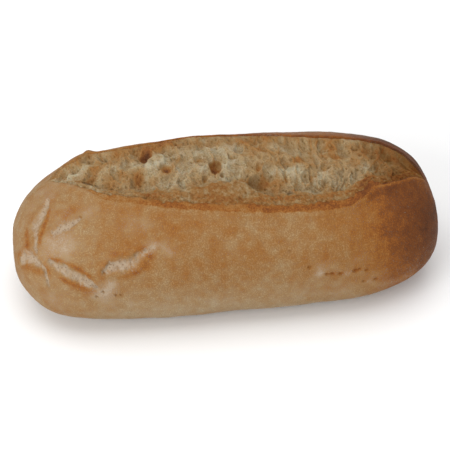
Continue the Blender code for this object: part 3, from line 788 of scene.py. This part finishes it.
def crumb_net(stations, across, beneath):
    """The crumb's places: the torn face from the rear lip to the front lip, then the rest of a ring
    that runs inside the shell. Only the torn face is fine, and the ends past the tips are coarse."""
    left = even_stations(-LENGTH / 2, LEFT_TIP[0] * MM, END_STATIONS)
    middle = even_stations(LEFT_TIP[0] * MM, RIGHT_TIP[0] * MM, stations)
    right = even_stations(RIGHT_TIP[0] * MM, LENGTH / 2, END_STATIONS)
    x = np.concatenate([left, middle[1:-1], right])[:, None]
    front, rear = lip_turns(x)
    close = np.interp(np.linspace(0, 1, across), *FACE_PACE)
    face = rear + close * (front - rear)
    under = front + np.linspace(0, 1, beneath + 2)[1:-1] * (rear + 2 * np.pi - front)
    return x, face, under


x, face_turn, under_turn = crumb_net(OPEN_STATIONS, ACROSS, BENEATH)
plain_face = loaf(x, face_turn)
from_rear = surface_run(plain_face)
gape = from_rear[:, -1:]
from_front = gape - from_rear

# %% Relief of the torn face
depth, strip = torn_form(plain_face, from_front, from_rear)
foam, cells, strands, pore = torn_foam(plain_face, from_rear, gape, strip)
x_mm, y_mm = plain_face[..., 0] / MM, plain_face[..., 1] / MM
bend_x = x_mm + 0.5 * swells(flat(x_mm, y_mm), 2.5, 76)
bend_y = y_mm + 0.5 * swells(flat(x_mm, y_mm), 2.5, 77)
hole = domes(0.3 * bend_x + 0.7 * x_mm, 0.3 * bend_y + 0.7 * y_mm, HOLES)
calm = smooth(0, 9, gape) * smooth(0, 3, from_rear)
total = depth + calm * foam * (1 - 0.6 * smooth(0.3, 1.2, hole)) + hole - domes(bend_x, bend_y, LUMPS)
total += patches(x_mm, y_mm, SOFT_HOLLOWS)
total = total * smooth(0, 10, gape)
dip = np.minimum(band_width(x_mm) + 0.7, 0.24 * gape)
sunk = 0.2 + 0.25 * smooth(-50, -38, x_mm) * smooth(58, 48, x_mm)
total = np.maximum(total, sunk * smooth(dip, 0.3 * dip, from_front) * smooth(0, 10, gape))
total += 0.6 * smooth(0.5, 0, from_rear)
tucked = np.maximum(total, 0.12 - 0.5 * strip * smooth(dip, dip + 1.2, from_front))
face = plain_face + facing_out(x, face_turn) * (form_relief(plain_face) - tucked * MM)[..., None]

inner_x = x * (1 - INSET / (LENGTH / 2))
under = loaf(inner_x, under_turn) - facing_out(inner_x, under_turn) * INSET
crumb_points = np.concatenate([face, under], axis=1)
number = np.arange(crumb_points.size // 3).reshape(crumb_points.shape[:2])
shut = ~opened(x[:, 0])
number[shut, :ACROSS] = number[shut, :1]
number[0], number[-1] = number[0, 0], number[-1, 0]
print("deepest place of the torn face, mm:", round(float(tucked.max()), 1))

# %% [markdown]
# The crumb has baked only where hot air reached it. The strip behind the front lip and the edge
# under the rear lip have toasted, more to the right. On the wall the thin strands and the rims of
# the gas cells have caught colour, while the floors of the cells are still the cream of the dough.
# A few patches are browner, and so are the big holes, partly as painted shade. Right by the front
# lip the crumb is paler, partly as painted light against the shade of the step under the band.

# %% How far each place of the crumb has baked, with painted shade and light
# along, across, half-length, half-width in mm, how much, turned in degrees
TOASTED = (
    (26.2, 0, 3.4, 2, 0.20, 0), (39.4, 0.4, 3.4, 2, 0.22, -10), (15.2, 6.7, 4.2, 2, 0.22, -25),
    (9.7, 14.8, 6, 2.6, 0.18, -15), (-7.9, 5, 2, 1.4, 0.20, 0), (24.7, -1.4, 2.8, 1.6, 0.14, 0),
    (-46.4, 5, 5.4, 3.2, 0.28, 45), (-30, -1.6, 2.8, 4.4, 0.28, -10), (-35.9, 0.7, 1.4, 3.2, 0.10, -15),
    (12.4, -8, 5.4, 3.8, 0.25, 0), (11.7, -2.7, 1.6, 2, 0.14, 0), (4, -5.8, 3, 1.6, 0.16, 0),
    (47.8, -13.4, 5.4, 3.6, 0.24, -12), (-23, 19, 12, 3, 0.14, 0),
    (-3.4, 0.6, 2.2, 3.2, 0.34, 0), (-27, 10.6, 2.8, 4.4, 0.24, 0), (-23, 8.6, 2.4, 3.4, 0.09, 0),
    (-20, 1, 2.2, 3.4, 0.26, 0), (-0.1, -11, 9, 5, 0.07, 0),
    (-24, 15.5, 10, 3.4, 0.12, 0), (-2, 17, 9, 2.4, 0.12, 0), (52, 4, 9, 5, 0.10, -20),
    (29.7, -8.5, 1, 3.6, 0.12, 0), (20.8, -7.3, 0.9, 3, 0.12, 0), (-23.5, -9.5, 5, 2.6, 0.10, 0),
)
PALE = (
    (1, 3, 9.5, 6.5, 0.13, 0), (20, -6.5, 8.5, 5.5, 0.11, 0), (36, -8, 9.5, 4.5, 0.11, 0),
    (-50, 11.8, 7.5, 4.5, 0.20, 35), (-22, 3, 9, 5, 0.08, 0), (7.6, -16, 4.2, 1.8, 0.18, 0),
)


def crumb_bake(points, front, rear, strip, hole, cells, strands):
    """Bake from 0 to 1: a base value with blotches in three sizes, more on the cell walls and strands,
    on the strip, under the rear lip, to the right end, in the big holes, partly as painted shade, and in
    the toasted patches, and less right by the front lip, partly as painted light."""
    x_mm, y_mm = points[..., 0] / MM, points[..., 1] / MM
    place = flat(x_mm, y_mm)
    patch = swells(place, 5.0, 81)
    blotch = 0.09 * patch + 0.045 * swells(place, 2.2, 82) + 0.045 * swells(place, 1.1, 83)
    bake = 0.15 + blotch + (0.08 + 0.08 * patch) * (1 - smooth(0.05, 0.5, cells))
    bake += (0.10 + 0.06 * smooth(10, 30, x_mm)) * strands
    bake += 0.12 * strip + 0.12 * smooth(11, 1, rear + 20 * blotch)
    bake += 0.24 * smooth(9.0, 3.5, front + 12 * blotch) * smooth(-44, -22, x_mm)
    # painted light, partly: paler right by the front lip, against the shade of the step under the band
    bake -= 0.18 * smooth(5.5, 3.6, front) + 0.18 * strip * smooth(0.15, 0.6, swells(place, 0.8, 84))
    bake += 0.08 * smooth(40, 66, x_mm) + 0.06 * smooth(-25, -45, x_mm)
    # painted shade, partly: the big holes are browned to look deeper
    bake += 0.32 * smooth(0.3, 1.8, hole) + 1.2 * (patches(x_mm, y_mm, TOASTED) - patches(x_mm, y_mm, PALE))
    return np.clip(bake, 0, 1)


bake = crumb_bake(plain_face, from_front, from_rear, strip, hole, cells, strands)
# painted shade inside the big holes
pore = np.clip(pore + 0.3 * smooth(0.5, 2.5, hole), 0, 1)
crumb = net_piece("crumb", crumb_points, number, bake=(bake, 0.2), pore=(pore, 0))

# %% [markdown]
# ## Colour of baked dough
# Crust and crumb are the same dough, browned to different degrees, so both materials share one
# group: it turns bake into colour through cream, tan and brown, after adding speckle in two sizes.
# The finer of the two also makes the colour a little brighter and darker, and comes out as a height
# for the bump.

# %% Baked dough group
def colour(red, green, blue):
    """A screen colour of 0 to 255 as the linear one that shaders take."""
    c = np.array([red, green, blue]) / 255
    return (*np.where(c <= 0.04045, c / 12.92, ((c + 0.055) / 1.055) ** 2.4), 1.0)


BROWNING = (
    (0.0, (162, 149, 124)), (0.1, (153, 132, 101)), (0.22, (148, 121, 86)), (0.32, (144, 111, 72)),
    (0.42, (141, 101, 58)), (0.52, (139, 92, 44)), (0.64, (132, 79, 34)), (0.76, (112, 65, 31)),
    (0.88, (95, 54, 29)), (1.0, (76, 45, 26)),
)


# scale and detail of the two noises
SPECKLES = ((330, 3), (2000, 2))


def add_node(tree, kind, place, inputs=(), **settings):
    """A shader node of this kind at a place, with its settings and with values on free inputs."""
    node = tree.nodes.new("ShaderNode" + kind)
    node.location = place
    for key, value in settings.items():
        setattr(node, key, value)
    for label, value in dict(inputs).items():
        node.inputs[label].default_value = value
    return node


def wire(tree, *wires):
    """Links, each given as a node, its output, the next node and its input."""
    for source, output, target, socket in wires:
        tree.links.new(source.outputs[output], target.inputs[socket])


def baked_dough():
    """Colour and fine height of dough that has baked this far."""
    tree = bpy.data.node_groups.new("baked_dough", "ShaderNodeTree")
    for label, value in (("Bake", 0.4), ("Blotch", 0.06), ("Speckle", 0.06), ("Grain", 0.3)):
        tree.interface.new_socket(label, in_out="INPUT", socket_type="NodeSocketFloat").default_value = value
    for label, kind in (("Color", "NodeSocketColor"), ("Height", "NodeSocketFloat")):
        tree.interface.new_socket(label, in_out="OUTPUT", socket_type=kind)
    given, made = tree.nodes.new("NodeGroupInput"), tree.nodes.new("NodeGroupOutput")
    place = add_node(tree, "TexCoord", (-1100, 0))
    fewer = add_node(tree, "MapRange", (-700, -450),
                     {"From Min": 0.5, "From Max": 0.85, "To Min": 1.0, "To Max": 0.75})
    wire(tree, (given, "Bake", fewer, "Value"))
    total = given.outputs["Bake"]
    for row, ((scale, detail), label) in enumerate(zip(SPECKLES, ("Blotch", "Speckle"))):
        noise = add_node(tree, "TexNoise", (-700, -200 * row), {"Scale": scale, "Detail": detail})
        centred = add_node(tree, "Math", (-500, -200 * row), {1: 0.5}, operation="SUBTRACT")
        calmer = add_node(tree, "Math", (-410, -200 * row), operation="MULTIPLY")
        part = add_node(tree, "Math", (-320, -200 * row), operation="MULTIPLY_ADD")
        wire(tree, (place, "Object", noise, "Vector"), (given, label, part, 1),
             (noise, "Fac", centred, 0), (centred, 0, calmer, 0), (fewer, "Result", calmer, 1),
             (calmer, 0, part, 0))
        tree.links.new(total, part.inputs[2])
        total = part.outputs[0]
    ramp = add_node(tree, "ValToRGB", (-100, 0))
    stops = ramp.color_ramp.elements
    stops[0].position, stops[1].position = BROWNING[0][0], BROWNING[-1][0]
    stops[0].color, stops[1].color = colour(*BROWNING[0][1]), colour(*BROWNING[-1][1])
    for at, shade in BROWNING[1:-1]:
        stops.new(at).color = colour(*shade)
    lift = add_node(tree, "Math", (100, -200), {0: 0.5}, operation="SUBTRACT")
    gain = add_node(tree, "Math", (250, -200), {2: 1.0}, operation="MULTIPLY_ADD")
    brighter = add_node(tree, "HueSaturation", (400, 0))
    tree.links.new(total, ramp.inputs["Fac"])
    wire(tree, (noise, "Fac", lift, 1), (lift, 0, gain, 0), (given, "Grain", gain, 1),
         (gain, 0, brighter, "Value"), (ramp, "Color", brighter, "Color"),
         (brighter, "Color", made, "Color"), (noise, "Fac", made, "Height"))
    return tree


dough = baked_dough()
print("group", dough.name, "with", len(dough.nodes), "nodes")

# %% [markdown]
# ## Crust and crumb materials
# Crust is dry and dull. Flour dusts it, thickest on the torn floors, where small pinholes are painted
# as dark dots of shade. The same pale colour also gives pale specks, partly flour and partly painted
# glints, and a painted grey sheen on the rear.
# Crumb is rougher still and browns a little more yellow. Its pores, the clefts between the granules
# of its strip, its big holes and its right end are darkened by painted shade on top of the light.

# %% Bread material
def bread(name, speckle_sizes, bump, surface):
    """A material that reads the piece's bake value, browns it and bumps it."""
    material = bpy.data.materials.new(name)
    material.use_nodes = True
    tree = material.node_tree
    shader = tree.nodes["Principled BSDF"]
    for label, value in surface.items():
        shader.inputs[label].default_value = value
    reader = add_node(tree, "Attribute", (-900, 200), attribute_name="bake")
    browned = add_node(tree, "Group", (-600, 200), node_tree=dough)
    for label, value in speckle_sizes.items():
        browned.inputs[label].default_value = value
    rough = add_node(tree, "Bump", (-300, -200), {"Strength": 1.0, "Distance": bump})
    wire(tree, (reader, "Fac", browned, "Bake"), (browned, "Height", rough, "Height"),
         (rough, "Normal", shader, "Normal"))
    return material, tree, shader, browned


# %% Crust with its flour, painted sheen and painted pinhole shade
# the first colour is flour and painted sheen, the second painted shade for the insides of pinholes
FLOUR_AND_SHEEN, PINHOLE_SHADE = colour(165, 146, 124), colour(118, 90, 62)

crust_material, tree, shader, browned = bread(
    "crust", {"Blotch": 0.42, "Speckle": 0.55, "Grain": 0.62}, bump=0.32 * MM,
    surface={"Roughness": 0.62, "Specular IOR Level": 0.07})
floury = add_node(tree, "Attribute", (-900, 500), attribute_name="flour")
# pale specks where the fine height is high: partly flour grains, partly painted glints
specks_and_glints = add_node(tree, "Math", (-620, 500), {1: 1.8}, operation="MULTIPLY_ADD")
cover = add_node(tree, "MapRange", (-440, 500),
                 {"From Min": 1.05, "From Max": 1.9, "To Max": 0.95})
dusted_and_sheened = add_node(tree, "Mix", (-250, 300), {"B": FLOUR_AND_SHEEN}, data_type="RGBA")
place = add_node(tree, "TexCoord", (-900, 800))
dots_apart = add_node(tree, "TexVoronoi", (-700, 800), {"Scale": 1000})
# painted shade: dark dots on the torn floors stand for the shade inside pinholes
pinholes = add_node(tree, "MapRange", (-500, 800), {"From Min": 0.36, "From Max": 0.10})
only_torn = add_node(tree, "MapRange", (-500, 1050),
                     {"From Min": 0.4, "From Max": 0.85, "To Max": 0.75})
torn_pinhole_shade = add_node(tree, "Math", (-300, 800), operation="MULTIPLY")
pinhole_shaded = add_node(tree, "Mix", (-100, 500), {"B": PINHOLE_SHADE}, data_type="RGBA")
wire(tree, (browned, "Height", specks_and_glints, 0), (floury, "Fac", specks_and_glints, 2), (specks_and_glints, 0, cover, "Value"),
     (cover, "Result", dusted_and_sheened, "Factor"), (browned, "Color", dusted_and_sheened, "A"),
     (place, "Object", dots_apart, "Vector"), (dots_apart, "Distance", pinholes, "Value"),
     (floury, "Fac", only_torn, "Value"), (pinholes, "Result", torn_pinhole_shade, 0),
     (only_torn, "Result", torn_pinhole_shade, 1), (torn_pinhole_shade, 0, pinhole_shaded, "Factor"),
     (dusted_and_sheened, "Result", pinhole_shaded, "A"), (pinhole_shaded, "Result", shader, "Base Color"))
crust.data.materials.append(crust_material)

# %% Crumb with its painted pore shade
crumb_material, tree, shader, browned = bread(
    "crumb", {"Blotch": 0.4, "Speckle": 0.4, "Grain": 0.35}, bump=0.16 * MM,
    surface={"Roughness": 0.8, "Specular IOR Level": 0.1, "Subsurface Weight": 0.5,
             "Subsurface Radius": (1.0, 0.6, 0.35), "Subsurface Scale": 1.5 * MM})
pores = add_node(tree, "Attribute", (-900, 500), attribute_name="pore")
yellower = add_node(tree, "HueSaturation", (-420, 200),
                    {"Hue": 0.5055, "Saturation": 0.96, "Value": 0.99})
# painted shade: this darker colour is multiplied in where the pores' shade value is high
shaded = add_node(tree, "Mix", (-250, 300), {"B": colour(200, 177, 142)},
                  data_type="RGBA", blend_type="MULTIPLY")
wire(tree, (pores, "Fac", shaded, "Factor"), (browned, "Color", yellower, "Color"),
     (yellower, "Color", shaded, "A"), (shaded, "Result", shader, "Base Color"))
crumb.data.materials.append(crumb_material)
print("materials:", [item.name for item in bpy.data.materials])

# %% [markdown]
# ## Into the frame
# Both pieces ride on the part's one body and take the place of its hidden mesh.

# %% Ride, replace and finish
for piece in (crust, crumb):
    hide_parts("roll")
    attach(piece, "root")

bpy.context.view_layer.update()
